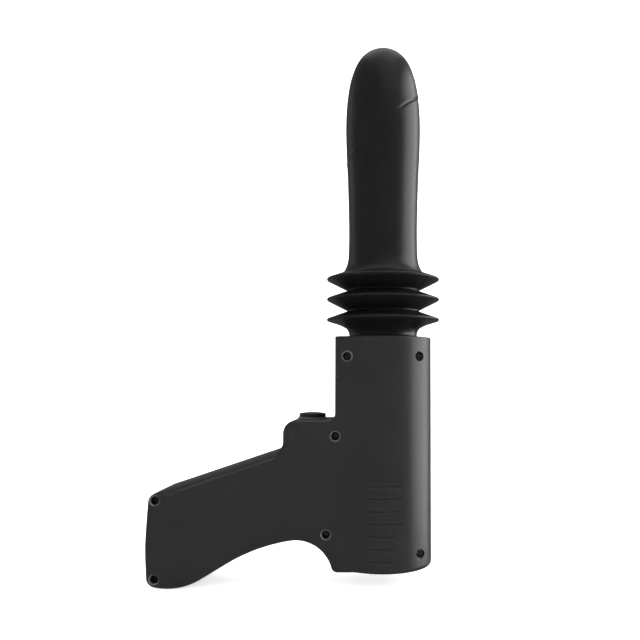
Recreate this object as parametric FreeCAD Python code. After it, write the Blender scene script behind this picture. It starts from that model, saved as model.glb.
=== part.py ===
import FreeCAD, Part
import math
import os

# Pistol-grip reciprocating massager: a soft sleeve on a pleated bellows, pushed in and out
# by a geared motor and a barrel cam inside a two-part moulded housing.
#
# Frame (millimetres): the origin is on the thrust axis at the flat rear face of the barrel,
# +Z runs along the thrust axis to the tip, the grip points to -X, and the two shells
# part on the plane Y = 0. Heights below are counted from the motor's seat, 1.2 mm above
# the rear face, and save() moves each piece up by that much.

V = FreeCAD.Vector
UP = V(0, 0, 1)

# Housing
BARREL_R = 26.0
BARREL_LOW, BARREL_TOP = -1.2, 120.8
WEB_X = -25.0
FLANK_Y = 21.0
WALL = 2.4
BLEND_R = 20.0
EDGE_R, REAR_EDGE_R = 1.8, 2.6
GRIP_BEVEL = 3.0
GRIP_TOP_SLOPE = 18.6
LUG_X, LUG_Z, GRIP_TOP = -51.9, 77.0, 61.6
SEAM = 0.3

# Grip outline: X, Z and corner radius
GRIP_OUTLINE = [
    (0.0, 100.0, 0.0), (-24.8, 100.0, 0.0), (-24.8, LUG_Z, 3.9), (LUG_X, LUG_Z, 6.8),
    (LUG_X, GRIP_TOP, 6.0), (-121.3, 38.25, 5.0), (-122.95, 12.0, 120.0), (-121.8, -8.3, 5.2),
    (-104.0, -10.9, 33.5), (-65.9, 11.95, 92.0), (-31.5, 17.65, 19.3),
    (-25.9, BARREL_LOW, 3.0), (0.0, BARREL_LOW, 0.0),
]

# Shell screws: X, Z and the depth of the head seat below Y = 0
FLANK_SEAT, CURVED_SEAT = 14.5, 11.5
SCREWS = [
    (-18.7, 110.3, FLANK_SEAT), (19.1, 110.3, CURVED_SEAT), (-24.7, 68.8, FLANK_SEAT),
    (-29.4, 18.3, FLANK_SEAT), (19.4, 7.5, CURVED_SEAT), (-117.7, 35.7, FLANK_SEAT),
    (-117.7, -4.6, FLANK_SEAT),
]
BOSS_R, HEAD_R, COUNTERBORE_R, SHANK_R, SHANK_LENGTH = 3.4, 2.05, 2.2, 1.45, 22.0
MOUTH_R, MOUTH_DEPTH = 2.75, 1.2

# Grip grooves on the rear of the barrel
GROOVE_PITCH, GROOVE_COUNT, GROOVE_LOW = 6.4, 7, 5.3
GROOVE_DEPTH, GROOVE_HALF = 0.6, 0.9

# Trigger button, switch and charging port
BUTTON_X, BUTTON_R, BUTTON_TOP = -38.3, 7.2, 80.6
BEZEL_R, BEZEL_TOP = 8.0, 77.8
PORT_X, PORT_Z, PLUG_R = -43.3, 68.8, 3.95
STEM_X = PORT_X - 3.15

# Drive train, upwards from the rear
MOTOR_R, MOTOR_LOW, MOTOR_TOP = 12.2, 8.0, 38.8
MOUNT_X = 6.0
CASE_R, CASE_TOP = 16.0, 63.4
MODULE, SUN_TEETH, PLANET_TEETH, RING_TEETH = 0.5, 12, 18, 48
ADDENDUM, DEDENDUM, TOOTH_GAP = 0.4, 0.6, 0.12
PRESSURE_ANGLE = math.radians(20)
CENTRE_DISTANCE = MODULE * (SUN_TEETH + PLANET_TEETH) / 2
STAGES = [41.8, 50.2]
GEAR_WIDTH = 4.6
STROKE = 25.0
DRUM_R, DRUM_LOW, DRUM_TOP = 10.0, 64.0, 98.0
CAM_LOW = 68.5
GROOVE_WIDTH, GROOVE_FLOOR = 4.7, 7.0
TUBE_BORE, TUBE_R, TUBE_LOW, TUBE_TOP = 10.4, 14.0, 64.2, 152.0
GUIDE_R, GUIDE_TOP = 17.0, 106.0

# Soft parts
NECK_R, SKIN, PLEAT_R = 18.5, 1.6, 30.8
PLEAT_HEIGHTS = [130.9, 142.0, 153.0]
SPLIT_Z = 157.0
TIP_Z = 280.8

# Cells in the grip
CELL_R, CELL_LENGTH = 9.1, 65.0
CELL_CENTRE = (-84.0, 27.0)


# ---- helpers ----

def cylinder(radius, low, high, x=0.0, y=0.0):
    return Part.makeCylinder(radius, high - low, V(x, y, low))


def tube(inner, outer, low, high, x=0.0, y=0.0):
    return cylinder(outer, low, high, x, y).cut(cylinder(inner, low - 1, high + 1, x, y))


def rod(radius, start, end):
    start, end = V(*start), V(*end)
    return Part.makeCylinder(radius, (end - start).Length, start, end - start)


def block(x, y, z):
    return Part.makeBox(x[1] - x[0], y[1] - y[0], z[1] - z[0], V(x[0], y[0], z[0]))


def side(x, z):
    return V(x, 0, z)


def plan(x, y):
    return V(x, y, 0)


def face_of(points, place=side):
    corners = [place(*point) for point in points]
    return Part.Face(Part.makePolygon(corners + corners[:1]))


def turned(points):
    return face_of(points).revolve(V(0, 0, 0), UP, 360)


def rounded_face(corners, place=side):
    """Face whose outline runs through the corners, each rounded by its own radius."""
    spans, arcs = [], []
    for index, (u, v, radius) in enumerate(corners):
        here = place(u, v)
        back = (place(*corners[index - 1][:2]) - here).normalize()
        ahead = (place(*corners[(index + 1) % len(corners)][:2]) - here).normalize()
        if radius == 0:
            spans.append((here, here))
            continue
        half = back.getAngle(ahead) / 2
        reach = radius / math.tan(half)
        middle = here + (back + ahead).normalize() * (radius / math.sin(half) - radius)
        spans.append((here + back * reach, here + ahead * reach))
        arcs.append(Part.Arc(spans[-1][0], middle, spans[-1][1]).toShape())
    edges = list(arcs)
    for index, span in enumerate(spans):
        following = spans[(index + 1) % len(spans)]
        if (following[0] - span[1]).Length > 1e-6:
            edges.append(Part.LineSegment(span[1], following[0]).toShape())
    return Part.Face(Part.Wire(Part.__sortEdges__(edges)))


def across(face, low, high):
    """Extrude an XZ face along Y."""
    body = face.copy()
    body.translate(V(0, low, 0))
    return body.extrude(V(0, high - low, 0))


def fused(shapes):
    shapes = list(shapes)
    result = shapes[0] if len(shapes) == 1 else shapes[0].multiFuse(shapes[1:])
    return result.removeSplitter()


def mirrored(shape):
    return shape.mirror(V(0, 0, 0), V(0, 1, 0))


def spun(shape, degrees):
    copy = shape.copy()
    copy.rotate(V(0, 0, 0), UP, degrees)
    return copy


def save(name, *shapes):
    solids = [solid.copy() for shape in shapes for solid in shape.Solids]
    for solid in solids:
        solid.translate(V(0, 0, -BARREL_LOW))
    whole = solids[0] if len(solids) == 1 else Part.makeCompound(solids)
    if not all(solid.isValid() for solid in solids):
        print("not valid:", name)
    whole.exportStep("parts/" + name + ".step")


# ---- housing shells ----

def barrel_outline(inset=0.0):
    """Round barrel section with a flat-sided web, blended by a soft hollow on each side."""
    reach = BARREL_R + BLEND_R
    blend_x = -math.sqrt(reach ** 2 - (FLANK_Y + BLEND_R) ** 2)
    share = BARREL_R / reach
    circle_x, circle_y = blend_x * share, (FLANK_Y + BLEND_R) * share
    turn = math.atan2(-blend_x, FLANK_Y + BLEND_R) / 2
    middle_x = blend_x + BLEND_R * math.sin(turn)
    middle_y = FLANK_Y + BLEND_R - BLEND_R * math.cos(turn)
    corner = 3.0
    corner_x, corner_y = WEB_X + corner, FLANK_Y - corner
    bulge = corner * math.sqrt(0.5)

    def arc(start, middle, end):
        return Part.Arc(plan(*start), plan(*middle), plan(*end)).toShape()

    def line(start, end):
        return Part.LineSegment(plan(*start), plan(*end)).toShape()

    edges = [arc((circle_x, -circle_y), (BARREL_R, 0), (circle_x, circle_y))]
    edges.append(line((WEB_X, -corner_y), (WEB_X, corner_y)))
    for sign in (-1, 1):
        edges.append(arc((circle_x, sign * circle_y), (middle_x, sign * middle_y),
                         (blend_x, sign * FLANK_Y)))
        edges.append(line((blend_x, sign * FLANK_Y), (corner_x, sign * FLANK_Y)))
        edges.append(arc((corner_x, sign * FLANK_Y),
                         (corner_x - bulge, sign * (corner_y + bulge)),
                         (WEB_X, sign * corner_y)))
    return Part.Face(Part.Wire(Part.__sortEdges__(edges)))


def edges_at(shape, test):
    return [edge for edge in shape.Edges if test(edge)]


def barrel_body():
    outline = barrel_outline()
    outline.translate(V(0, 0, BARREL_LOW))
    body = outline.extrude(V(0, 0, BARREL_TOP - BARREL_LOW))
    low = edges_at(body, lambda edge: abs(edge.BoundBox.ZMax - BARREL_LOW) < 1e-6)
    body = body.makeFillet(REAR_EDGE_R, low)
    high = edges_at(body, lambda edge: abs(edge.BoundBox.ZMin - BARREL_TOP) < 1e-6)
    return body.makeFillet(0.8, high)


def grip_bevel():
    """Cutter for the long bevel on the grip's upper edge, which runs out at both ends."""
    outline = [(-78.0, 3.0, 0.0), (-60.0, 0.0, 20.0), (-5.0, 0.0, 4.0), (1.0, 6.0, 0.0)]
    cutter = across(rounded_face(outline), -15.0, 15.0)
    cutter.rotate(V(0, 0, 0), V(1, 0, 0), 45)
    cutter.translate(V(0, -FLANK_Y + GRIP_BEVEL / 2, -GRIP_BEVEL / 2))
    cutter.rotate(V(0, 0, 0), V(0, 1, 0), -GRIP_TOP_SLOPE)
    cutter.translate(V(LUG_X, 0, GRIP_TOP))
    return cutter


def grip_body():
    body = across(rounded_face(GRIP_OUTLINE), -FLANK_Y, FLANK_Y)

    def on_flank(edge):
        box = edge.BoundBox
        flat = box.YLength < 1e-6 and abs(abs(box.YMax) - FLANK_Y) < 1e-6
        return flat and box.XMin < -1.0

    body = body.makeFillet(EDGE_R, edges_at(body, on_flank))
    bevel = grip_bevel()
    return body.cut(bevel).cut(mirrored(bevel))


def seam_outline():
    barrel = face_of([(WEB_X, BARREL_LOW), (BARREL_R, BARREL_LOW),
                      (BARREL_R, BARREL_TOP), (WEB_X, BARREL_TOP)])
    whole = rounded_face(GRIP_OUTLINE).fuse(barrel).removeSplitter()
    return Part.Face(whole.Faces[0].OuterWire)


def cavity():
    barrel = cylinder(BARREL_R - WALL, BARREL_LOW + WALL, BARREL_TOP - 3.0)
    inner = seam_outline().makeOffset2D(-WALL)
    grip = across(inner, -FLANK_Y + WALL, FLANK_Y - WALL)
    grip = grip.common(block((-140, 0), (-30, 30), (-20, BARREL_TOP - 8)))
    return barrel.fuse(grip)


def ring_rib(inner, low, high):
    return tube(inner, BARREL_R - WALL + 0.5, low, high)


def ribs():
    """Ring ribs: the two lower ones stay open towards the grip, so the wiring can pass."""
    open_side = block((-12.0, 30.0), (-30.0, 30.0), (0.0, BARREL_TOP))
    lower = [ring_rib(15.9, 12.0, 14.0), ring_rib(CASE_R + 0.1, 44.0, 46.4)]
    upper = [ring_rib(GUIDE_R + 0.1, 100.0, 102.9), ring_rib(GUIDE_R + 0.1, 106.1, 107.5),
             ring_rib(NECK_R + 0.4, 112.4, 113.6)]
    return [rib.common(open_side) for rib in lower] + upper


def cell_frame(shape):
    """Move a shape built about the cell centre, along X, into the sloping grip."""
    shape.rotate(V(0, 0, 0), V(0, 1, 0), -GRIP_TOP_SLOPE)
    shape.translate(V(CELL_CENTRE[0], 0, CELL_CENTRE[1]))
    return shape


def cradle_ribs():
    """Shell ribs that carry the cell cradle."""
    return [cell_frame(block((x - 1, x + 1), (-FLANK_Y + 1, -15.0), (-15.5, -11.3)))
            for x in (-22.0, 22.0)]


def shell_core():
    outer = barrel_body().fuse(grip_body()).removeSplitter()
    hollow = outer.cut(cavity())
    mouth = cylinder(NECK_R + 0.4, BARREL_TOP - 5, BARREL_TOP + 1)
    additions = ribs()
    for x, z, seat in SCREWS:
        additions.append(rod(BOSS_R, (x, -FLANK_Y, z), (x, FLANK_Y, z)))
    for rib in cradle_ribs():
        additions += [rib, mirrored(rib)]
    inside = fused(additions).common(outer)
    body = hollow.fuse(inside)
    body = body.cut(mouth)
    body = body.cut(cylinder(8.04, 70.0, 90.0, BUTTON_X))
    return body


def grooves():
    """Seven shallow finger grooves across each side of the barrel's rear."""
    floor = tube(BARREL_R - GROOVE_DEPTH, BARREL_R + 2, BARREL_LOW, BARREL_TOP)
    cuts = []
    for index in range(GROOVE_COUNT):
        z = GROOVE_LOW + index * GROOVE_PITCH
        left = -7.0 if index < 4 else -9.0
        right = 5.0 if index < 3 else 9.5
        bar = block((left, right), (-30, -20), (z - GROOVE_HALF, z + GROOVE_HALF))
        ends = [rod(GROOVE_HALF, (x, -30, z), (x, -20, z)) for x in (left, right)]
        cuts.append(fused([bar] + ends).common(floor))
    return cuts


def seam_cutter():
    outline = seam_outline()
    ring = Part.Face(outline.makeOffset2D(2.0).OuterWire).cut(outline.makeOffset2D(-SEAM))
    return across(ring, -SEAM, SEAM)


def screw_mouth(x, z, seat):
    """Cutter for the sloping mouth of a screw hole, gentler where the wall is curved."""
    face = seat + FLANK_Y - FLANK_SEAT
    slope = (MOUTH_R - COUNTERBORE_R) / MOUTH_DEPTH
    depth = MOUTH_DEPTH
    if seat == CURVED_SEAT:
        slope, depth = slope / 4, 4 * MOUTH_DEPTH
    wide = COUNTERBORE_R + slope * (depth + 1.0)
    return Part.makeCone(COUNTERBORE_R, wide, depth + 1.0, V(x, depth - face, z), V(0, -1, 0))


def shells():
    body = shell_core().cut(seam_cutter())
    lines = grooves()
    body = body.cut(Part.makeCompound(lines + [mirrored(line) for line in lines]))
    left = body.common(block((-140, 40), (-40, 0), (-20, 130)))
    right = body.common(block((-140, 40), (0, 40), (-20, 130)))
    for x, z, seat in SCREWS:
        left = left.cut(rod(COUNTERBORE_R, (x, -40, z), (x, -seat, z)))
        left = left.cut(screw_mouth(x, z, seat))
        left = left.cut(rod(SHANK_R + 0.15, (x, -40, z), (x, 1, z)))
        right = right.cut(rod(SHANK_R + 0.01, (x, -1, z), (x, SHANK_LENGTH - seat + 1.5, z)))
    left = left.cut(rod(PLUG_R + 0.1, (PORT_X, -30, PORT_Z), (PORT_X, -FLANK_Y + 0.8, PORT_Z)))
    left = left.cut(rod(2.4, (PORT_X, -30, PORT_Z), (PORT_X, -10, PORT_Z)))
    left = left.cut(rod(0.65, (STEM_X, -30, PORT_Z), (STEM_X, -10, PORT_Z)))
    save("shell_left", left.removeSplitter())
    save("shell_right", right.removeSplitter())


def shell_screws():
    screws = []
    for x, z, seat in SCREWS:
        head = rod(HEAD_R, (x, -seat - 2.0, z), (x, -seat, z))
        rim = edges_at(head, lambda edge: edge.BoundBox.YMax < -seat - 1.9)
        head = head.makeFillet(0.7, rim)
        for dx, dz in ((1.2, 0.3), (0.3, 1.2)):
            slot = block((x - dx, x + dx), (-seat - 3, -seat - 1.0), (z - dz, z + dz))
            head = head.cut(slot)
        shank = rod(SHANK_R, (x, -seat, z), (x, -seat + SHANK_LENGTH, z))
        screws.append(head.fuse(shank).removeSplitter())
    save("shell_screws", *screws)


# ---- trigger button and charging port ----

def dome(radius, low, shoulder, top):
    """Round button cap: straight side, rounded edge and a slightly domed top."""
    rise = top - shoulder
    crown_r = (rise ** 2 + radius ** 2) / (2 * rise)
    crown = Part.makeSphere(crown_r, V(0, 0, top - crown_r))
    cap = cylinder(radius, low, top + 1).common(crown)
    rim = edges_at(cap, lambda edge: abs(edge.BoundBox.ZMin - shoulder) < 0.01
                   and edge.BoundBox.ZLength < 1e-6)
    return cap.makeFillet(0.7, rim)


def trigger_button():
    bezel = tube(BUTTON_R + 0.1, 8.0, 74.65, LUG_Z + 0.1)
    flange = tube(BUTTON_R + 0.1, BEZEL_R, LUG_Z, BEZEL_TOP)
    rim = edges_at(flange, lambda edge: edge.BoundBox.ZMin > BEZEL_TOP - 0.01)
    bezel = bezel.fuse(flange.makeFillet(0.35, rim[:1]))
    bezel.translate(V(BUTTON_X, 0, 0))
    save("button_bezel", bezel.removeSplitter())

    cap = dome(BUTTON_R, 73.6, BUTTON_TOP - 0.7, BUTTON_TOP)
    flange = cylinder(7.8, 73.6, 74.6)
    cap = cap.fuse(flange).cut(cylinder(5.6, 70.0, 78.0))
    cap = cap.fuse(cylinder(1.6, 72.4, 78.2))
    cap.translate(V(BUTTON_X, 0, 0))
    save("trigger_button", cap.removeSplitter())

    plunger = cylinder(1.5, 69.6, 72.4, BUTTON_X)
    save("switch_plunger", plunger)
    body = block((BUTTON_X - 6, BUTTON_X + 6), (-6, 6), (61.0, 70.6))
    body = body.cut(cylinder(1.6, 68.0, 72.0, BUTTON_X))
    save("trigger_switch", body)
    bracket = block((BUTTON_X - 5.5, BUTTON_X + 5.5), (-18.5, 18.5), (59.2, 60.9))
    posts = [block((BUTTON_X - 4, BUTTON_X + 4), pair, (60.9, 66.0))
             for pair in ((-7.5, -6.1), (6.1, 7.5))]
    save("switch_bracket", fused([bracket] + posts))

    path = Part.makeLongHelix(1.1, 6.6, 4.2)
    wire = Part.Wire(Part.makeCircle(0.3, V(4.2, 0, 0), V(0, 1, 0)))
    coil = Part.Wire(path).makePipeShell([wire], True, True)
    coil.translate(V(BUTTON_X, 0, 70.95))
    save("button_spring", coil)


def charging_port():
    disc = rod(PLUG_R, (PORT_X, -FLANK_Y - 0.5, PORT_Z), (PORT_X, -FLANK_Y + 0.75, PORT_Z))
    rim = edges_at(disc, lambda edge: edge.BoundBox.YMax < -FLANK_Y - 0.4)
    disc = disc.makeFillet(0.45, rim)
    barrel = rod(1.7, (PORT_X, -FLANK_Y, PORT_Z), (PORT_X, -14.0, PORT_Z))
    stem = rod(0.5, (STEM_X, -FLANK_Y, PORT_Z), (STEM_X, -8.5, PORT_Z))
    barb = rod(0.8, (STEM_X, -9.6, PORT_Z), (STEM_X, -8.5, PORT_Z))
    save("port_plug", fused([disc, barrel, stem, barb]))

    jack = block((PORT_X - 2.3, PORT_X + 3.2), (-18.5, -9.0), (PORT_Z - 3.2, PORT_Z + 3.2))
    jack = jack.cut(rod(1.8, (PORT_X, -30, PORT_Z), (PORT_X, -10.0, PORT_Z)))
    pin = rod(0.6, (PORT_X, -13.5, PORT_Z), (PORT_X, -9.5, PORT_Z))
    save("charging_jack", jack.fuse(pin).removeSplitter())


# ---- battery, board and leads ----

def cells():
    parts = []
    for y in (-9.2, 9.2):
        can = rod(CELL_R, (-CELL_LENGTH / 2, y, 0), (CELL_LENGTH / 2 - 1.5, y, 0))
        ends = [edge for edge in can.Edges if edge.BoundBox.XLength < 1e-6]
        can = can.makeFillet(0.7, ends)
        top = rod(3.5, (CELL_LENGTH / 2 - 2.5, y, 0), (CELL_LENGTH / 2, y, 0))
        parts.append(cell_frame(can.fuse(top)))
    save("battery_cells", *parts)

    half = CELL_LENGTH / 2
    floor = block((-half - 2.2, half + 2.2), (-18.4, 18.4), (-11.2, -9.2))
    walls = [block(pair, (-18.4, 18.4), (-11.2, 5.0))
             for pair in ((-half - 3.4, -half - 1.9), (half + 1.9, half + 3.4))]
    cradle = cell_frame(fused([floor] + walls))
    save("battery_cradle", cradle)

    contacts = []
    for y in (-9.2, 9.2):
        for x, sign in ((-half - 1.85, 1), (half + 1.85, -1)):
            plate = block(tuple(sorted((x, x + sign * 0.4))), (y - 4, y + 4), (-4.5, 4.5))
            tip = rod(2.5, (x + sign * 0.2, y, 0), (x + sign * 1.8, y, 0))
            contacts.append(cell_frame(plate.fuse(tip)))
    save("battery_contacts", *contacts)


def control_board():
    board = block((-24, 26), (-13, 13), (12.4, 14.0))
    chips = [
        block((-6, 3), (-5, 4), (14.0, 15.6)), block((8, 14), (-10, -4), (14.0, 16.4)),
        block((8, 14), (3, 9), (14.0, 16.4)), block((-20, -13), (-11, -3), (14.0, 17.6)),
        cylinder(3.0, 14.0, 20.0, -16.0, 6.0), block((18, 24), (-11, 11), (14.0, 18.4)),
    ]
    save("control_board", cell_frame(fused([board] + chips)))


def lead(points, radius=0.6):
    """Insulated wire: straight runs joined by tangent arcs."""
    points = [V(*point) for point in points]
    edges, start = [], points[0]
    for before, here, after in zip(points, points[1:], points[2:]):
        back, ahead = before - here, after - here
        run = min(back.Length, ahead.Length)
        back, ahead = back.normalize(), ahead.normalize()
        half = back.getAngle(ahead) / 2
        reach = 0.45 * run
        bend = reach * math.tan(half)
        middle = here + (back + ahead).normalize() * (bend / math.sin(half) - bend)
        edges.append(Part.LineSegment(start, here + back * reach).toShape())
        edges.append(Part.Arc(here + back * reach, middle, here + ahead * reach).toShape())
        start = here + ahead * reach
    edges.append(Part.LineSegment(start, points[-1]).toShape())
    path = Part.Wire(edges)
    section = Part.Wire(Part.makeCircle(radius, points[0], points[1] - points[0]))
    return path.makePipeShell([section], True, False)


def in_grip(x, y, z):
    """Point given about the cell centre, along the sloping grip."""
    slope = math.radians(GRIP_TOP_SLOPE)
    return (CELL_CENTRE[0] + x * math.cos(slope) - z * math.sin(slope), y,
            CELL_CENTRE[1] + x * math.sin(slope) + z * math.cos(slope))


def board_entry(y):
    """Last two points of a lead that plugs into the board's connector."""
    return [in_grip(29.0, y, 16.2), in_grip(24.05, y, 16.2)]


def leads():
    motor, battery, switch, charge = [], [], [], []
    for sign in (-1, 1):
        y = 7.0 * sign
        motor.append(lead([(0, 6.0 * sign, 4.6), (-9, 6.0 * sign, 4.3), (-18, y, 6.0),
                           (-22.5, 9.5 * sign, 12), (-23.5, 11.0 * sign, 25),
                           (-31, 10.5 * sign, 37), (-43, 9.0 * sign, 45)] + board_entry(y)))
        y = 10.0 * sign
        battery.append(lead([in_grip(35.95, 12.5 * sign, 0), in_grip(39.0, 12.5 * sign, 0.2),
                             in_grip(39.6, 12.4 * sign, 9.0), in_grip(35.5, 11.4 * sign, 14.5)]
                            + board_entry(y)))
        y = 4.2 * sign
        switch.append(lead([(BUTTON_X - 3, 3.0 * sign, 59.1), (BUTTON_X - 3.2, 3.0 * sign, 56.2),
                            (BUTTON_X - 8, 3.4 * sign, 53.6), (-55.0, y, 53.4)]
                           + board_entry(y)))
        y = 1.4 * sign
        charge.append(lead([(-44.6, -14.4 + 2.4 * sign, 65.5), (-44.7, -14.2 + 2.4 * sign, 61.0),
                            (-47.5, -10.6 + 2.0 * sign, 57.0), (-54.0, -3.4 + y, 55.4)]
                           + board_entry(y)))
    save("motor_leads", *motor)
    save("battery_leads", *battery)
    save("switch_leads", *switch)
    save("charge_leads", *charge)


# ---- motor and planetary gearbox ----

def motor():
    can = tube(MOTOR_R - 1.0, MOTOR_R, MOTOR_LOW + 2.0, MOTOR_TOP)
    front = tube(1.3, MOTOR_R, MOTOR_TOP - 1.0, MOTOR_TOP)
    for sign in (-1, 1):
        front = front.cut(cylinder(1.3, 30.0, MOTOR_TOP + 1, MOUNT_X * sign))
    boss = tube(1.3, 3.0, MOTOR_TOP - 1.0, MOTOR_TOP + 1.2)
    save("motor_can", fused([can, front, boss]))

    magnet = tube(8.6, MOTOR_R - 1.05, 14.0, 34.0)
    save("motor_magnets", magnet.common(block((-20, 20), (3.0, 20), (0, 60))),
         magnet.common(block((-20, 20), (-20, -3.0), (0, 60))))

    cap = tube(1.1, MOTOR_R, MOTOR_LOW, MOTOR_LOW + 1.95)
    hub = tube(1.1, 3.0, MOTOR_LOW - 1.6, MOTOR_LOW + 0.5)
    tabs = [block((-1.2, 1.2), (6.0 * s - 0.3, 6.0 * s + 0.3), (5.3, MOTOR_LOW + 0.5))
            for s in (-1, 1)]
    save("motor_endcap", fused([cap, hub] + tabs))

    shaft = cylinder(1.0, MOTOR_LOW - 1.0, STAGES[0] + GEAR_WIDTH)
    stack = cylinder(2.6, 15.5, 32.5)
    poles = []
    for index in range(3):
        arm = block((0, 7.2), (-1.4, 1.4), (16.5, 31.5))
        shoe = tube(7.0, 8.2, 16.5, 31.5).common(block((0, 9), (-5.4, 5.4), (16, 32)))
        coil = block((3.4, 6.6), (-3.0, 3.0), (15.6, 32.4))
        poles.append(spun(fused([arm, shoe, coil]), 120 * index))
    commutator = cylinder(2.2, 10.6, 15.5)
    save("motor_rotor", fused([shaft, stack, commutator] + poles))
    save("motor_damper", tube(MOTOR_R + 0.02, 15.85, 10.5, 16.0))


def motor_screws():
    """Two flush slotted screws that hold the gear case on the motor's front plate."""
    screws = []
    for sign in (-1, 1):
        screw = cylinder(1.28, MOTOR_TOP - 2.5, MOTOR_TOP + 2.1, MOUNT_X * sign)
        slot = block((MOUNT_X * sign - 2, MOUNT_X * sign + 2), (-0.25, 0.25),
                     (MOTOR_TOP + 1.4, MOTOR_TOP + 3))
        screws.append(screw.cut(slot))
    save("motor_screws", *screws)


def tooth_edge(radius, base, half_at_pitch, pitch):
    """Half angle of a tooth at a radius, following an involute above the base circle."""
    def involute(r):
        angle = math.acos(min(1.0, base / r))
        return math.tan(angle) - angle
    return half_at_pitch + involute(pitch) - involute(max(radius, base))


def gear_face(teeth, inner, outer, thickness, phase):
    """Gear outline with one tooth centred at the phase angle."""
    pitch = MODULE * teeth / 2
    base = pitch * math.cos(PRESSURE_ANGLE)
    half = thickness / pitch / 2
    steps = 5
    start = max(inner, base)
    radii = [start + (outer - start) * step / steps for step in range(steps + 1)]
    if inner < base:
        radii.insert(0, inner)
    points = []
    for index in range(teeth):
        middle = phase + 2 * math.pi * index / teeth
        rising = [(radius, middle - tooth_edge(radius, base, half, pitch)) for radius in radii]
        falling = [(radius, 2 * middle - angle) for radius, angle in reversed(rising)]
        points += [(r * math.cos(a), r * math.sin(a)) for r, a in rising + falling]
    return face_of(points, plan)


def gear(teeth, low, high, phase, bore):
    pitch = MODULE * teeth / 2
    thickness = math.pi * MODULE / 2 - TOOTH_GAP / 2
    face = gear_face(teeth, pitch - DEDENDUM, pitch + ADDENDUM, thickness, phase)
    face.translate(V(0, 0, low))
    body = face.extrude(V(0, 0, high - low))
    return body.cut(cylinder(bore, low - 1, high + 1)) if bore else body


def ring_cutter(low, high):
    pitch = MODULE * RING_TEETH / 2
    thickness = math.pi * MODULE / 2 + TOOTH_GAP / 2
    face = gear_face(RING_TEETH, pitch - ADDENDUM, pitch + DEDENDUM, thickness,
                     math.pi / RING_TEETH)
    face.translate(V(0, 0, low))
    return face.extrude(V(0, 0, high - low))


def gearbox():
    case = cylinder(CASE_R, MOTOR_TOP, CASE_TOP)
    case = case.cut(ring_cutter(MOTOR_TOP + 2.2, 58.0))
    case = case.cut(cylinder(3.1, MOTOR_TOP - 1, MOTOR_TOP + 3))
    case = case.cut(cylinder(6.5, 58.6, CASE_TOP + 1))
    case = case.cut(cylinder(4.6, 57.0, 60.0))
    mounts = [cylinder(1.3, 30.0, MOTOR_TOP + 3, MOUNT_X * s) for s in (-1, 1)]
    save("gearbox_case", case.cut(Part.makeCompound(mounts)))

    bearing = [tube(5.4, 6.48, 58.7, 62.2), tube(3.02, 4.0, 58.7, 62.2)]
    for index in range(8):
        angle = index * math.pi / 4
        ball = Part.makeSphere(0.68, V(4.7 * math.cos(angle), 4.7 * math.sin(angle), 60.45))
        bearing.append(ball)
    save("output_bearing", *bearing)

    for stage, low in enumerate(STAGES, start=1):
        for index in range(3):
            planet = gear(PLANET_TEETH, low, low + GEAR_WIDTH, math.pi / PLANET_TEETH, 0.85)
            planet.translate(V(CENTRE_DISTANCE, 0, 0))
            save("stage%d_planet_%d" % (stage, index + 1), spun(planet, 120 * index))
    save("motor_pinion", gear(SUN_TEETH, STAGES[0], STAGES[0] + GEAR_WIDTH, 0, 1.0))

    pins = [cylinder(0.8, STAGES[0], 47.0, *planet_centre(index)) for index in range(3)]
    plate = cylinder(9.6, 46.9, 48.9)
    sun = gear(SUN_TEETH, 48.8, STAGES[1] + GEAR_WIDTH, 0, 0)
    save("stage1_carrier", fused([plate, sun] + pins))

    pins = [cylinder(0.8, STAGES[1], 55.6, *planet_centre(index)) for index in range(3)]
    plate = cylinder(9.6, 55.3, 57.4)
    boss = cylinder(3.9, 57.3, 58.65)
    shaft = cylinder(3.0, 57.3, 80.0).cut(cylinder(1.3, 70.0, 81.0))
    save("stage2_carrier", fused([plate, boss, shaft] + pins))


def planet_centre(index):
    angle = 2 * math.pi * index / 3
    return CENTRE_DISTANCE * math.cos(angle), CENTRE_DISTANCE * math.sin(angle)


# ---- cam, thrust tube and guide ----

def cam_groove():
    """Closed groove: half a turn up the stroke, half a turn back down."""
    mean = (DRUM_R + GROOVE_FLOOR) / 2 + 0.4
    depth = DRUM_R + 1.5 - GROOVE_FLOOR
    slope = math.atan2(STROKE, math.pi * mean)
    cuts = []
    for sign in (1, -1):
        path = Part.makeHelix(2 * STROKE, STROKE, mean, 0, sign < 0)
        width = V(0, -math.sin(slope) * sign, math.cos(slope)) * (GROOVE_WIDTH / 2)
        inner, outer = V(GROOVE_FLOOR, 0, 0), V(GROOVE_FLOOR + depth, 0, 0)
        corners = [inner - width, outer - width, outer + width, inner + width]
        section = Part.makePolygon(corners + corners[:1])
        cuts.append(Part.Wire(path).makePipeShell([section], True, True))
    for end, z in ((1, 0), (-1, STROKE)):
        near, far = end * (GROOVE_FLOOR - 0.02), end * (GROOVE_FLOOR + depth)
        cuts.insert(0, rod(GROOVE_WIDTH / 2 + 0.03, (near, 0, z), (far, 0, z)))
    for cut in cuts:
        cut.translate(V(0, 0, CAM_LOW))
    return cuts


def cam_drum():
    drum = cylinder(DRUM_R, DRUM_LOW, DRUM_TOP)
    rims = edges_at(drum, lambda edge: edge.BoundBox.ZLength < 1e-6)
    drum = drum.makeChamfer(0.4, rims)
    drum = drum.cut(cylinder(3.02, DRUM_LOW - 1, 80.05))
    drum = drum.cut(cylinder(1.6, 70.0, 90.0)).cut(cylinder(3.6, 84.0, DRUM_TOP + 1))
    for cut in cam_groove():
        drum = drum.cut(cut)
    save("cam_drum", drum)
    head = cylinder(2.8, 84.05, 87.0).cut(cylinder(1.25, 85.2, 88.0))
    save("drum_screw", head.fuse(cylinder(1.28, 72.0, 84.1)).removeSplitter())


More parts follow.
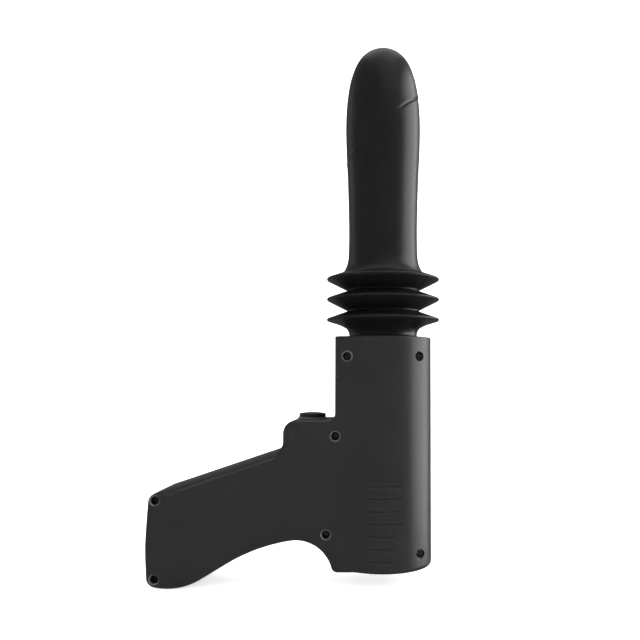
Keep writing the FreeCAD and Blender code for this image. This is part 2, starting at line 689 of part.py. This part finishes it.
def follower():
    z = CAM_LOW
    save("follower_roller", rod(2.3, (7.2, 0, z), (9.95, 0, z)).cut(
        rod(1.27, (6, 0, z), (11, 0, z))))
    pin = rod(1.25, (7.2, 0, z), (16.4, 0, z)).fuse(rod(1.8, (10.45, 0, z), (12.4, 0, z)))
    save("follower_pin", pin.removeSplitter())


def thrust_tube():
    body = tube(TUBE_BORE, TUBE_R, TUBE_LOW, TUBE_TOP)
    rim = edges_at(body, lambda edge: abs(edge.BoundBox.ZMin - TUBE_LOW) < 1e-6
                   and edge.BoundBox.XMax > TUBE_R - 0.1 and edge.BoundBox.ZLength < 1e-6)
    body = body.makeChamfer(0.5, rim)
    keys = [block((sign * 15 - 1.6, sign * 15 + 1.6), (-2.0, 2.0), (TUBE_LOW + 0.2, 72.8))
            for sign in (-1, 1)]
    body = body.fuse(Part.makeCompound(keys)).removeSplitter()
    body = body.cut(rod(1.26, (9, 0, CAM_LOW), (20, 0, CAM_LOW)))
    body = body.cut(rod(1.85, (9, 0, CAM_LOW), (12.45, 0, CAM_LOW)))
    body = body.cut(rod(1.3, (-20, 0, 145), (20, 0, 145)))
    save("thrust_tube", body)


def guide_tube():
    body = tube(TUBE_R + 0.05, GUIDE_R, CASE_TOP, GUIDE_TOP)
    flange = tube(TUBE_R + 0.05, 20.0, GUIDE_TOP - 3.0, GUIDE_TOP)
    body = body.fuse(flange)
    ears = []
    for sign in (-1, 1):
        body = body.cut(block((sign * 15.5 - 2.5, sign * 15.5 + 2.5), (-2.06, 2.06),
                              (CASE_TOP - 1, 99.0)))
        ears.append(block((sign * 19.0 - 2.2, sign * 19.0 + 2.2), (-4.0, 4.0),
                          (GUIDE_TOP - 3.0, GUIDE_TOP)))
    body = body.fuse(Part.makeCompound(ears)).removeSplitter()
    save("guide_tube", body.cut(cylinder(TUBE_R + 0.05, 50, 120)))


def neck_ring():
    save("neck_ring", tube(TUBE_R + 0.4, 22.5, 113.7, 115.1).fuse(
        tube(TUBE_R + 0.4, NECK_R - SKIN - 0.05, 115.0, 124.6)).removeSplitter())


# ---- soft sleeve and bellows ----

def bellows():
    outer = [(NECK_R, 115.15), (NECK_R, 125.5)]
    valleys = [135.3, 146.3]
    for index, height in enumerate(PLEAT_HEIGHTS):
        outer += [(PLEAT_R - 0.3, height - 0.9), (PLEAT_R, height - 0.2), (PLEAT_R - 0.4, height + 0.5)]
        if index < len(valleys):
            outer += [(NECK_R + 0.7, valleys[index] - 0.5), (NECK_R + 0.7, valleys[index] + 0.5)]
    outer += [(21.6, SPLIT_Z)]
    inner = [(21.6 - 2.4, SPLIT_Z)]
    for index in reversed(range(len(PLEAT_HEIGHTS))):
        inner.append((PLEAT_R - 2.6, PLEAT_HEIGHTS[index] - 0.3))
        if index:
            inner.append((NECK_R - 1.0, valleys[index - 1]))
    inner += [(NECK_R - SKIN, 126.0), (NECK_R - SKIN, 115.15)]
    body = turned(outer + inner)
    flange = tube(NECK_R - SKIN, 22.2, 115.15, BARREL_TOP - 3.05)
    save("bellows", body.fuse(flange).removeSplitter())


def sleeve_core():
    plug = tube(7.6, TUBE_BORE - 0.02, 138.0, TUBE_TOP)
    flange = tube(7.6, 18.0, TUBE_TOP, 156.0)
    column = tube(7.6, 11.0, 155.0, 262.0)
    dome_top = Part.makeSphere(11.0, V(0, 0, 262.0)).common(cylinder(12, 262.0, 280))
    ribs_out = [tube(10.0, 12.4, z, z + 2.0) for z in range(166, 262, 16)]
    body = fused([plug, flange, column, dome_top] + ribs_out)
    save("sleeve_core", body.cut(rod(1.3, (-20, 0, 145), (20, 0, 145))))
    save("core_screws", *[rod(1.28, (s * 8.4, 0, 145), (s * 13.6, 0, 145)) for s in (-1, 1)])


def sleeve_profile():
    """Half outline of the sleeve: flare, straight shaft, fuller head and domed tip."""
    def spline(points, start=None, end=None):
        curve = Part.BSplineCurve()
        curve.interpolate([side(*point) for point in points])
        return curve.toShape()

    shaft = [(21.6, SPLIT_Z), (19.6, 161.0), (18.8, 166.5), (18.7, 182.0), (19.3, 205.0),
             (20.2, 225.0), (20.4, 240.0), (19.4, 254.0), (17.2, 265.0), (13.4, 273.6),
             (7.6, 279.0), (0.0, TIP_Z)]
    edges = [spline(shaft)]
    edges.append(Part.LineSegment(side(0, TIP_Z), side(0, SPLIT_Z)).toShape())
    edges.append(Part.LineSegment(side(0, SPLIT_Z), side(21.6, SPLIT_Z)).toShape())
    return Part.Face(Part.Wire(edges))


def silicone_sleeve():
    body = sleeve_profile().revolve(V(0, 0, 0), UP, 360)
    hollow = [cylinder(11.05, SPLIT_Z - 1, 262.0),
              Part.makeSphere(11.05, V(0, 0, 262.0))]
    hollow += [cylinder(12.45, z - 0.05, z + 2.05) for z in range(166, 262, 16)]
    for shape in hollow:
        body = body.cut(shape)
    save("silicone_sleeve", body)


def build():
    os.makedirs("parts", exist_ok=True)
    shells()
    shell_screws()
    trigger_button()
    charging_port()
    cells()
    control_board()
    leads()
    motor()
    motor_screws()
    gearbox()
    cam_drum()
    follower()
    thrust_tube()
    guide_tube()
    neck_ring()
    bellows()
    sleeve_core()
    silicone_sleeve()


build()
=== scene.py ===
import math

import bmesh
import bpy
import numpy as np
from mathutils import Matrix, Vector


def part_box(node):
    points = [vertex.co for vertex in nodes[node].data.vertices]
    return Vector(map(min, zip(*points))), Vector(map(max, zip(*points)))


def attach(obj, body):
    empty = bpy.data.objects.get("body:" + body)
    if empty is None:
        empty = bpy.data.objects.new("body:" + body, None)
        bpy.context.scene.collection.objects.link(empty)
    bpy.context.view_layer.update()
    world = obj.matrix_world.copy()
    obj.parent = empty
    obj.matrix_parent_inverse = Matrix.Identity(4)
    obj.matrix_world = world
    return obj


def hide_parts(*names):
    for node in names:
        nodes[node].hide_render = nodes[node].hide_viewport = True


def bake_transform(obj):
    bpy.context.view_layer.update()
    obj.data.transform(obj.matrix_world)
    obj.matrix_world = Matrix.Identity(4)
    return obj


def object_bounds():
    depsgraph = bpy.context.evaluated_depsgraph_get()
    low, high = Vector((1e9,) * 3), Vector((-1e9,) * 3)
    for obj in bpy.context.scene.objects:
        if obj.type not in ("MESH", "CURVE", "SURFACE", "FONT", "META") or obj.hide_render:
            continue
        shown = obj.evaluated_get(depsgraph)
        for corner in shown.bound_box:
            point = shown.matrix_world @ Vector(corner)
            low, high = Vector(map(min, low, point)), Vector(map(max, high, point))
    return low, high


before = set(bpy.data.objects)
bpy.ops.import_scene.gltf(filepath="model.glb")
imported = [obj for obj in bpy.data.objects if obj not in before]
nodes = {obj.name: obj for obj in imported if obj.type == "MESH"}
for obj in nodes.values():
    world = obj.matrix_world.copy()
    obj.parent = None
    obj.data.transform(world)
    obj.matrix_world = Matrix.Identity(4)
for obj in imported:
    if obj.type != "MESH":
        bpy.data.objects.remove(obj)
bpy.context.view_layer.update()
scene = bpy.context.scene
MM = 0.001

# Heights below are in millimetres in the part's own drawing; LIFT takes them to the frame.
BARREL_TOP = 120.8
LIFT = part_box("shell_left")[1].z / MM - BARREL_TOP


# ---- camera ----

CAMERA_PLACE = (0.0011, -0.4246, 0.0988)
CAMERA_PITCH = 2.4
LENS, SENSOR_WIDTH = 43.75, 36.0
SHIFT_X, SHIFT_Y = -0.1016, 0.0437

camera_data = bpy.data.cameras.new("camera")
camera_data.lens = LENS
camera_data.sensor_width = SENSOR_WIDTH
camera_data.shift_x = SHIFT_X
camera_data.shift_y = SHIFT_Y
camera_data.clip_start = 0.01
camera_data.clip_end = 50.0
camera = bpy.data.objects.new("camera", camera_data)
camera.location = CAMERA_PLACE
camera.rotation_euler = (math.radians(90 + CAMERA_PITCH), 0, 0)
scene.collection.objects.link(camera)
scene.camera = camera


# ---- material helpers ----

def link(tree, source, target):
    tree.links.new(source, target)


def noise(tree, coords, scale, detail=3.0, rough=0.5):
    """A noise texture; scale is in features per metre."""
    node = tree.nodes.new("ShaderNodeTexNoise")
    node.inputs["Scale"].default_value = scale
    node.inputs["Detail"].default_value = detail
    node.inputs["Roughness"].default_value = rough
    link(tree, coords, node.inputs["Vector"])
    return node.outputs["Fac"]


def ramp(tree, value, low, high, start=0.3, stop=0.7):
    """Maps a 0 to 1 value between start and stop onto low to high."""
    node = tree.nodes.new("ShaderNodeMapRange")
    node.inputs["From Min"].default_value = start
    node.inputs["From Max"].default_value = stop
    node.inputs["To Min"].default_value = low
    node.inputs["To Max"].default_value = high
    link(tree, value, node.inputs["Value"])
    return node.outputs["Result"]


def mixed(tree, factor, dark, light):
    """Blends two colours, each a tuple or a socket, by a factor socket."""
    node = tree.nodes.new("ShaderNodeMix")
    node.data_type = "RGBA"
    link(tree, factor, node.inputs["Factor"])
    for socket, colour in ((node.inputs[6], dark), (node.inputs[7], light)):
        if isinstance(colour, tuple):
            socket.default_value = (*colour, 1.0)
        else:
            link(tree, colour, socket)
    return node.outputs[2]


def bumped(tree, height, distance):
    node = tree.nodes.new("ShaderNodeBump")
    node.inputs["Strength"].default_value = 1.0
    node.inputs["Distance"].default_value = distance
    link(tree, height, node.inputs["Height"])
    return node.outputs["Normal"]


def stretched(tree, coords, scale):
    """Coordinates scaled along each axis, for brushed or drawn surfaces."""
    node = tree.nodes.new("ShaderNodeMapping")
    node.inputs["Scale"].default_value = scale
    link(tree, coords, node.inputs["Vector"])
    return node.outputs["Vector"]


def worn_and_highlit_edges(tree, radius):
    """0 on flat faces and 1 on sharp edges, from the rounded normal against the true one."""
    bevel = tree.nodes.new("ShaderNodeBevel")
    bevel.samples = 4
    bevel.inputs["Radius"].default_value = radius
    geometry = tree.nodes.new("ShaderNodeNewGeometry")
    dot = tree.nodes.new("ShaderNodeVectorMath")
    dot.operation = "DOT_PRODUCT"
    link(tree, bevel.outputs["Normal"], dot.inputs[0])
    link(tree, geometry.outputs["True Normal"], dot.inputs[1])
    return ramp(tree, dot.outputs["Value"], 1.0, 0.0, 0.80, 0.995)


def finish(name, dark, light, rough, metallic=0.0, patch=60.0, grain=2500.0,
           depth=0.00001, brushed=None, ior=1.45, sheen=0.0, edge=None):
    """One procedural material: patchy colour, uneven gloss, a fine grain and paler edges, partly wear
    and partly a painted highlight.
    """
    material = bpy.data.materials.new(name)
    material.use_nodes = True
    tree = material.node_tree
    shader = tree.nodes["Principled BSDF"]
    coords = tree.nodes.new("ShaderNodeTexCoord").outputs["Object"]
    clouds = noise(tree, coords, patch, 4.0, 0.6)
    if brushed:
        coords = stretched(tree, coords, brushed)
    fine = noise(tree, coords, grain, 3.0, 0.55)
    colour = mixed(tree, ramp(tree, clouds, 0.0, 1.0), dark, light)
    speck = ramp(tree, fine, 0.0, 0.35, 0.45, 0.75)
    colour = mixed(tree, speck, colour, light)
    # Paler edges: partly wear, partly a painted edge highlight.
    if edge:
        colour = mixed(tree, worn_and_highlit_edges(tree, edge[0]), colour, edge[1])
    link(tree, colour, shader.inputs["Base Color"])
    gloss = ramp(tree, clouds, rough[0], rough[1])
    link(tree, gloss, shader.inputs["Roughness"])
    link(tree, bumped(tree, fine, depth), shader.inputs["Normal"])
    shader.inputs["Metallic"].default_value = metallic
    shader.inputs["IOR"].default_value = ior
    shader.inputs["Sheen Weight"].default_value = sheen
    shader.inputs["Sheen Roughness"].default_value = 0.4
    return material


def painted_light_mouths(material, colour):
    """Painted highlight: a paler colour where a mesh marks the sloping mouths of its screw holes,
    standing in for light on the counterbore walls.
    """
    tree = material.node_tree
    shader = tree.nodes["Principled BSDF"]
    mark = tree.nodes.new("ShaderNodeAttribute")
    mark.attribute_name = "mouth"
    plain = shader.inputs["Base Color"].links[0].from_socket
    link(tree, mixed(tree, mark.outputs["Fac"], plain, colour), shader.inputs["Base Color"])


def circuit_board(name):
    """Green solder mask over faint copper tracks, with bare dots at the joints."""
    material = finish(name, (0.004, 0.04, 0.014), (0.008, 0.075, 0.03), (0.25, 0.4), grain=1800.0)
    tree = material.node_tree
    shader = tree.nodes["Principled BSDF"]
    coords = tree.nodes["Texture Coordinate"].outputs["Object"]
    tracks = tree.nodes.new("ShaderNodeTexBrick")
    tracks.inputs["Scale"].default_value = 320.0
    tracks.inputs["Mortar Size"].default_value = 0.035
    link(tree, coords, tracks.inputs["Vector"])
    mask = shader.inputs["Base Color"].links[0].from_socket
    colour = mixed(tree, tracks.outputs["Fac"], mask, (0.05, 0.16, 0.06))
    dots = tree.nodes.new("ShaderNodeTexVoronoi")
    dots.inputs["Scale"].default_value = 260.0
    link(tree, coords, dots.inputs["Vector"])
    joints = ramp(tree, dots.outputs["Distance"], 1.0, 0.0, 0.10, 0.16)
    link(tree, mixed(tree, joints, colour, (0.55, 0.56, 0.55)), shader.inputs["Base Color"])
    return material


def cell_wrap(name):
    """Shrink film on the cells: coloured, with thin stretch lines round it."""
    return finish(name, (0.01, 0.05, 0.16), (0.014, 0.07, 0.21), (0.2, 0.34), patch=90.0,
                  grain=900.0, depth=0.00002, brushed=(0.3, 0.3, 2.0))


# ---- the finish of each material slot ----

FINISHES = {
    "housing_plastic": finish(
        "housing_plastic_finish", (0.0122, 0.0120, 0.0124), (0.0142, 0.0140, 0.0143), (0.33, 0.40),
        patch=26.0, grain=3400.0, depth=0.000012, ior=1.42, edge=(0.0006, (0.034, 0.034, 0.035))),
    "silicone": finish(
        "silicone_finish", (0.0048, 0.0049, 0.0049), (0.0060, 0.0061, 0.0061), (0.31, 0.38),
        patch=34.0, grain=2600.0, depth=0.000006, ior=1.37),
    "button_plastic": finish(
        "button_plastic_finish", (0.0072, 0.0072, 0.0075), (0.0090, 0.0090, 0.0094), (0.30, 0.38),
        patch=120.0, grain=5200.0, depth=0.000008, edge=(0.0004, (0.022, 0.022, 0.023))),
    "bezel_plastic": finish(
        "bezel_plastic_finish", (0.060, 0.060, 0.062), (0.072, 0.072, 0.075), (0.26, 0.34),
        patch=150.0, grain=4200.0, depth=0.000006, edge=(0.0003, (0.14, 0.14, 0.145))),
    "soft_rubber": finish(
        "soft_rubber_finish", (0.0118, 0.0118, 0.0120), (0.0138, 0.0138, 0.0140), (0.40, 0.48),
        patch=140.0, grain=3600.0, depth=0.000010, sheen=0.03),
    "black_plastic": finish(
        "black_plastic_finish", (0.012, 0.012, 0.013), (0.018, 0.018, 0.018), (0.35, 0.45),
        patch=70.0, grain=2600.0, depth=0.000014),
    "chassis_plastic": finish(
        "chassis_plastic_finish", (0.030, 0.031, 0.034), (0.040, 0.041, 0.044), (0.42, 0.52),
        patch=50.0, grain=1900.0, depth=0.000018),
    "white_nylon": finish(
        "white_nylon_finish", (0.62, 0.61, 0.57), (0.72, 0.71, 0.67), (0.35, 0.46),
        patch=60.0, grain=2200.0, depth=0.000012),
    "dark_steel": finish(
        "dark_steel_finish", (0.020, 0.020, 0.021), (0.034, 0.033, 0.033), (0.28, 0.42), 0.6,
        patch=300.0, grain=6000.0, depth=0.000008, edge=(0.0002, (0.30, 0.30, 0.30))),
    "bright_steel": finish(
        "bright_steel_finish", (0.50, 0.50, 0.51), (0.58, 0.58, 0.59), (0.20, 0.32), 1.0,
        patch=90.0, grain=4200.0, depth=0.000006, brushed=(1.0, 1.0, 0.12)),
    "gear_steel": finish(
        "gear_steel_finish", (0.36, 0.35, 0.34), (0.46, 0.45, 0.44), (0.25, 0.38), 1.0,
        patch=140.0, grain=3600.0, depth=0.000010),
    "gear_case_steel": finish(
        "gear_case_steel_finish", (0.27, 0.27, 0.27), (0.35, 0.35, 0.35), (0.32, 0.46), 1.0,
        patch=80.0, grain=2400.0, depth=0.000014, brushed=(1.0, 1.0, 3.0)),
    "spring_steel": finish(
        "spring_steel_finish", (0.33, 0.33, 0.34), (0.42, 0.42, 0.43), (0.22, 0.34), 1.0,
        patch=200.0, grain=5200.0, depth=0.000005),
    "nickel": finish(
        "nickel_finish", (0.56, 0.54, 0.50), (0.64, 0.62, 0.58), (0.18, 0.30), 1.0,
        patch=130.0, grain=4600.0, depth=0.000005),
    "brass": finish(
        "brass_finish", (0.55, 0.38, 0.13), (0.66, 0.47, 0.18), (0.24, 0.38), 1.0,
        patch=120.0, grain=3800.0, depth=0.000008),
    "magnet": finish(
        "magnet_finish", (0.045, 0.045, 0.047), (0.070, 0.070, 0.072), (0.45, 0.60),
        patch=120.0, grain=2800.0, depth=0.000020),
    "lead_cover": finish(
        "lead_cover_finish", (0.30, 0.016, 0.012), (0.38, 0.022, 0.016), (0.30, 0.42),
        patch=160.0, grain=3000.0, depth=0.000006),
    "cell_wrap": cell_wrap("cell_wrap_finish"),
    "circuit_board": circuit_board("circuit_board_finish"),
}

# Painted highlight: the sloping mouths of the screw holes get a paler colour in place of light on
# their walls.
painted_light_mouths(FINISHES["housing_plastic"], (0.115, 0.114, 0.116))

for node in nodes.values():
    for index, material in enumerate(node.data.materials):
        node.data.materials[index] = FINISHES[material.name.split(".")[0]]


# ---- lathe helpers ----

def rounded_path(corners, spacing):
    """Samples a polyline of (radius, height, fillet) corners, with its corners rounded."""
    points = [np.array(corner[:2], float) for corner in corners]
    path = [points[0]]
    for before, point, after, corner in zip(points, points[1:], points[2:], corners[1:]):
        to_before = (before - point) / np.linalg.norm(before - point)
        to_after = (after - point) / np.linalg.norm(after - point)
        half = math.acos(float(np.clip(to_before @ to_after, -1, 1))) / 2
        reach = corner[2] / math.tan(half) if corner[2] else 0.0
        reach = min(reach, 0.49 * np.linalg.norm(before - point), 0.49 * np.linalg.norm(after - point))
        if reach < 1e-6 or half > 1.55:
            path.append(point)
            continue
        radius = reach * math.tan(half)
        bisector = (to_before + to_after) / np.linalg.norm(to_before + to_after)
        centre = point + bisector * radius / math.sin(half)
        first = point + to_before * reach - centre
        last = point + to_after * reach - centre
        sweep = math.pi - 2 * half
        steps = max(3, math.ceil(sweep / math.radians(11)))
        for index in range(steps + 1):
            share = index / steps
            near = math.sin((1 - share) * sweep) / math.sin(sweep)
            far = math.sin(share * sweep) / math.sin(sweep)
            path.append(centre + first * near + last * far)
    path.append(points[-1])
    return divided(path, spacing)


def divided(path, spacing):
    """Adds points so that no run of the path is longer than spacing."""
    result = [path[0]]
    for point in path[1:]:
        last = result[-1]
        length = np.linalg.norm(point - last)
        if length < 1e-4:
            continue
        runs = max(1, math.ceil(length / spacing))
        result += [last + (point - last) * step / runs for step in range(1, runs + 1)]
    return result


def smooth_path(points, spacing):
    """A Catmull-Rom curve through the points."""
    points = [np.array(point, float) for point in points]
    path = [points[1]]
    for p0, p1, p2, p3 in zip(points, points[1:], points[2:], points[3:]):
        runs = max(2, math.ceil(np.linalg.norm(p2 - p1) / spacing))
        for step in range(1, runs + 1):
            t = step / runs
            path.append(0.5 * (2 * p1 + (p2 - p0) * t
                               + (2 * p0 - 5 * p1 + 4 * p2 - p3) * t ** 2
                               + (3 * p1 - p0 - 3 * p2 + p3) * t ** 3))
    return path


def lathe(name, profile, segments, shaped=None):
    """Turns a closed profile of (radius, height) points; a zero radius closes to one vertex."""
    mesh = bmesh.new()
    rings = []
    for radius, height in profile:
        if radius < 1e-6:
            rings.append([mesh.verts.new((0, 0, (height + LIFT) * MM))] * segments)
            continue
        ring = []
        for step in range(segments):
            angle = 2 * math.pi * step / segments
            r = shaped(radius, height, angle) if shaped else radius
            ring.append(mesh.verts.new((r * math.cos(angle) * MM, r * math.sin(angle) * MM,
                                        (height + LIFT) * MM)))
        rings.append(ring)
    for lower, upper in zip(rings, rings[1:] + rings[:1]):
        for step in range(segments):
            after = (step + 1) % segments
            corners = [lower[step], lower[after], upper[after], upper[step]]
            face = list(dict.fromkeys(corners))
            if len(face) > 2:
                mesh.faces.new(face)
    data = bpy.data.meshes.new(name)
    mesh.normal_update()
    mesh.to_mesh(data)
    mesh.free()
    data.shade_smooth()
    piece = bpy.data.objects.new(name, data)
    scene.collection.objects.link(piece)
    return piece


# ---- silicone skin: neck, three pleats, shaft and head in one piece ----

NECK_R = 18.5
SKIN = 1.6
PLEAT_R = 30.8
PLEATS = [130.9, 142.0, 153.0]
VALLEY_R = 19.1
SPLIT_Z = 157.0
TIP_Z = 280.8
GROOVE_MID, GROOVE_TILT, GROOVE_REACH = 234.1, 18.0, 6.0
CREASE_DEPTH, LIP_HEIGHT, RIDGE_HEIGHT = 0.85, 0.14, 0.24
HEAD_LOW = 200.0
INSIDE_R = 12.6
SEGMENTS = 160


def pleated_outside():
    path = [(16.9, 115.15, 0), (22.2, 115.15, 0.3), (22.2, 117.75, 0.3), (NECK_R, 117.75, 0.3),
            (NECK_R, 120.84, 0), (NECK_R + 1.3, 120.86, 0.2), (NECK_R + 1.25, 121.0, 0.2),
            (NECK_R, 121.5, 1.2), (NECK_R, 123.2, 3.0), (19.7, 125.8, 3.0), (23.6, 127.8, 9.0)]
    for index, height in enumerate(PLEATS):
        path += [(PLEAT_R - 0.55, height - 1.0, 0.9), (PLEAT_R, height - 0.25, 0.45),
                 (PLEAT_R - 0.6, height + 0.45, 0.6)]
        if height != PLEATS[-1]:
            valley = (height + PLEATS[index + 1]) / 2 - 1.1
            path += [(VALLEY_R, valley, 0.45)]
    return path + [(21.9, 156.3, 0)]


def sleeve_outside():
    foot = [(22.8, 154.2), (21.9, 156.3), (20.4, 158.9), (19.3, 162.4), (18.8, 167.5), (18.7, 182.0)]
    head = [(19.3, 205.0), (20.2, 225.0), (20.4, 240.0), (19.4, 254.0), (17.2, 265.0), (13.4, 273.6)]
    return foot + head + [(7.6, 279.0), (0.0, TIP_Z), (-7.6, 279.0)]


def skin_inside():
    path = [(0.0, 273.1, 0), (11.1, 273.1, 11.0)]
    for low in reversed(range(166, 262, 16)):
        path += [(11.1, low + 2.1, 0), (12.5, low + 2.1, 0), (12.5, low - 0.1, 0),
                 (11.1, low - 0.1, 0)]
    path += [(11.1, SPLIT_Z, 0.3), (19.2, SPLIT_Z, 1.0)]
    for height in reversed(PLEATS):
        path += [(PLEAT_R - 2.6, height - 0.3, 0.6)]
        if height != PLEATS[0]:
            path += [(NECK_R - 1.0, height - 6.7, 0.6)]
    return path + [(NECK_R - SKIN, 126.0, 1.0), (NECK_R - SKIN, 115.3, 0)]


def with_groove(radius, height, angle):
    """A slanted line round the head: a crease on the right, a fine ridge on the left."""
    side = math.cos(angle)
    along = height - (GROOVE_MID + GROOVE_TILT * side)
    if radius < INSIDE_R or abs(along) > GROOVE_REACH or height < HEAD_LOW:
        return radius
    right = min(1.0, max(0.0, (side - 0.25) / 0.4))
    left = min(1.0, max(0.0, (-side - 0.30) / 0.35))
    crease = CREASE_DEPTH * right * right * (3 - 2 * right) * math.exp(-(along / 0.62) ** 2)
    lip = LIP_HEIGHT * right * math.exp(-((along - 2.0) / 1.3) ** 2)
    ridge = RIDGE_HEIGHT * left * math.exp(-(along / 0.45) ** 2)
    return radius - crease + lip + ridge


outside = rounded_path(pleated_outside(), 0.9)
shaft = smooth_path(sleeve_outside(), 0.6)
inside = rounded_path(skin_inside(), 4.0)
skin = lathe("silicone_skin", outside + shaft[1:] + inside, SEGMENTS, with_groove)
skin.data.materials.append(FINISHES["silicone"])
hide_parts("bellows", "silicone_sleeve")


# ---- housing halves: the CAD shells with welded points and true normals ----

BARREL_R = 26.0 * MM
WELD = 0.0002 * MM

# X and Z of each screw hole, and the widest reach of its mouth
SCREWS = [(-18.7, 110.3), (19.1, 110.3), (-24.7, 68.8), (-29.4, 18.3), (19.4, 7.5),
          (-117.7, 35.7), (-117.7, -4.6)]
MOUTH_REACH = 3.6 * MM

# An edge sharper than this is creased, save along the grip's bevel, which reads as round
SHARP, SHARP_ON_BEVEL = math.radians(24), math.radians(50)
BEVEL_START, BEVEL_END, BEVEL_OUT = -115 * MM, -45 * MM, 16 * MM


def radial(point):
    return Vector((point.x, point.y, 0.0)).normalized()


def on_barrel(data, face):
    """True for a face of the barrel's outer wall, whose true normals point from its axis."""
    points = [data.vertices[index].co for index in face.vertices]
    if any(abs(math.hypot(point.x, point.y) - BARREL_R) > 0.02 * MM for point in points):
        return False
    return face.normal.dot(radial(face.center)) > 0.97


def in_mouth(data, face):
    """True for a face of a screw hole's sloping mouth."""
    x, y, z = face.center
    near = min(math.hypot(x - sx * MM, z - (sz + LIFT) * MM) for sx, sz in SCREWS)
    sloping = 0.08 < -face.normal.y < 0.65
    return near < MOUTH_REACH and y < -10 * MM and sloping and not on_barrel(data, face)


def crease_angle(edge):
    middle = (edge.verts[0].co + edge.verts[1].co) / 2
    on_bevel = BEVEL_START < middle.x < BEVEL_END and abs(middle.y) > BEVEL_OUT
    return SHARP_ON_BEVEL if on_bevel else SHARP


def housing_half(name, node):
    mesh = bmesh.new()
    mesh.from_mesh(nodes[node].data)
    bmesh.ops.remove_doubles(mesh, verts=mesh.verts, dist=WELD)
    for face in mesh.faces:
        face.smooth = True
    for edge in mesh.edges:
        edge.smooth = edge.calc_face_angle(0.0) < crease_angle(edge)
    data = bpy.data.meshes.new(name)
    mesh.to_mesh(data)
    mesh.free()
    piece = bpy.data.objects.new(name, data)
    scene.collection.objects.link(piece)
    weighted = piece.modifiers.new("weighted", "WEIGHTED_NORMAL")
    weighted.keep_sharp = True
    weighted.weight = 80
    bpy.context.view_layer.objects.active = piece
    bpy.ops.object.modifier_apply(modifier="weighted")
    normals = [corner.vector.copy() for corner in data.corner_normals]
    for face in data.polygons:
        if on_barrel(data, face):
            for corner in face.loop_indices:
                normals[corner] = radial(data.vertices[data.loops[corner].vertex_index].co)
    data.normals_split_custom_set(normals)
    # Marks the screw-hole mouths that get the painted highlight.
    marks = data.attributes.new("mouth", "FLOAT", "FACE")
    marks.data.foreach_set("value", [float(in_mouth(data, face)) for face in data.polygons])
    data.materials.clear()
    data.materials.append(FINISHES["housing_plastic"])
    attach(piece, "housing")
    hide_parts(node)


housing_half("housing_left", "shell_left")
housing_half("housing_right", "shell_right")


# ---- button spring: a copy of the CAD coil ----

coil = bpy.data.objects.new("coil_spring", nodes["button_spring"].data.copy())
scene.collection.objects.link(coil)
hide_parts("button_spring")


# ---- stage and light ----

FLOOR_GAP = 0.0002
FLOOR_FLAT, FLOOR_BEND, FLOOR_SEGMENTS = 1.2, 0.9, 96


def stage_bowl(low):
    """Pale floor that curves up into a wall all round, so no horizon shows."""
    profile = [(0.35, 0.0), (0.8, 0.0), (FLOOR_FLAT, 0.0)]
    for angle in (math.radians(step) for step in range(6, 91, 6)):
        profile.append((FLOOR_FLAT + FLOOR_BEND * math.sin(angle),
                        FLOOR_BEND - FLOOR_BEND * math.cos(angle)))
    wall = FLOOR_FLAT + FLOOR_BEND
    profile += [(wall, 1.6), (wall, 2.4)]
    mesh = bmesh.new()
    rings = []
    turns = [2 * math.pi * step / FLOOR_SEGMENTS for step in range(FLOOR_SEGMENTS)]
    for radius, height in profile:
        rings.append([mesh.verts.new((radius * math.cos(turn), radius * math.sin(turn),
                                      low + height)) for turn in turns])
    centre = mesh.verts.new((0, 0, low))
    for step in range(FLOOR_SEGMENTS):
        mesh.faces.new([centre, rings[0][step], rings[0][(step + 1) % FLOOR_SEGMENTS]])
    for lower, upper in zip(rings, rings[1:]):
        for step in range(FLOOR_SEGMENTS):
            after = (step + 1) % FLOOR_SEGMENTS
            mesh.faces.new([lower[step], upper[step], upper[after], lower[after]])
    data = bpy.data.meshes.new("floor")
    mesh.to_mesh(data)
    mesh.free()
    data.shade_smooth()
    floor = bpy.data.objects.new("floor", data)
    scene.collection.objects.link(floor)
    return floor


floor = stage_bowl(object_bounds()[0][2] - FLOOR_GAP)
floor.data.materials.append(finish(
    "floor_paper", (0.86, 0.86, 0.86), (0.88, 0.88, 0.88), (0.7, 0.8), patch=3.0, grain=400.0,
    depth=0.00002, ior=1.15))
lit_paper = floor.data.materials[0].node_tree.nodes["Principled BSDF"]
lit_paper.inputs["Emission Color"].default_value = (1.0, 1.0, 1.0, 1.0)
lit_paper.inputs["Emission Strength"].default_value = 0.62
floor.visible_glossy = False


def softbox(name, place, aim, width, height, power):
    light = bpy.data.lights.new(name, "AREA")
    light.shape = "RECTANGLE"
    light.size = width
    light.size_y = height
    light.energy = power
    box = bpy.data.objects.new(name, light)
    box.location = place
    box.rotation_euler = (Vector(aim) - Vector(place)).to_track_quat("-Z", "Y").to_euler()
    scene.collection.objects.link(box)


MIDDLE = (0.0, 0.0, 0.12)
softbox("softbox_top", (0.0, 0.45, 1.9), (0.0, 0.25, 0.0), 1.9, 1.9, 11)
softbox("softbox_right", (1.03, 0.21, 0.35), MIDDLE, 1.2, 1.3, 18.5)
softbox("softbox_left", (-1.25, 0.75, 0.35), MIDDLE, 0.5, 1.3, 1.0)
softbox("softbox_front", (0.55, -0.95, 1.75), MIDDLE, 1.8, 1.8, 4.9)

world = bpy.data.worlds.new("studio")
world.use_nodes = True
world.node_tree.nodes["Background"].inputs["Color"].default_value = (0.92, 0.95, 1.0, 1.0)
world.node_tree.nodes["Background"].inputs["Strength"].default_value = 0.16
scene.world = world
scene.view_settings.view_transform = "Standard"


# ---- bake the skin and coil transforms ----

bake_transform(skin)
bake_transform(coil)
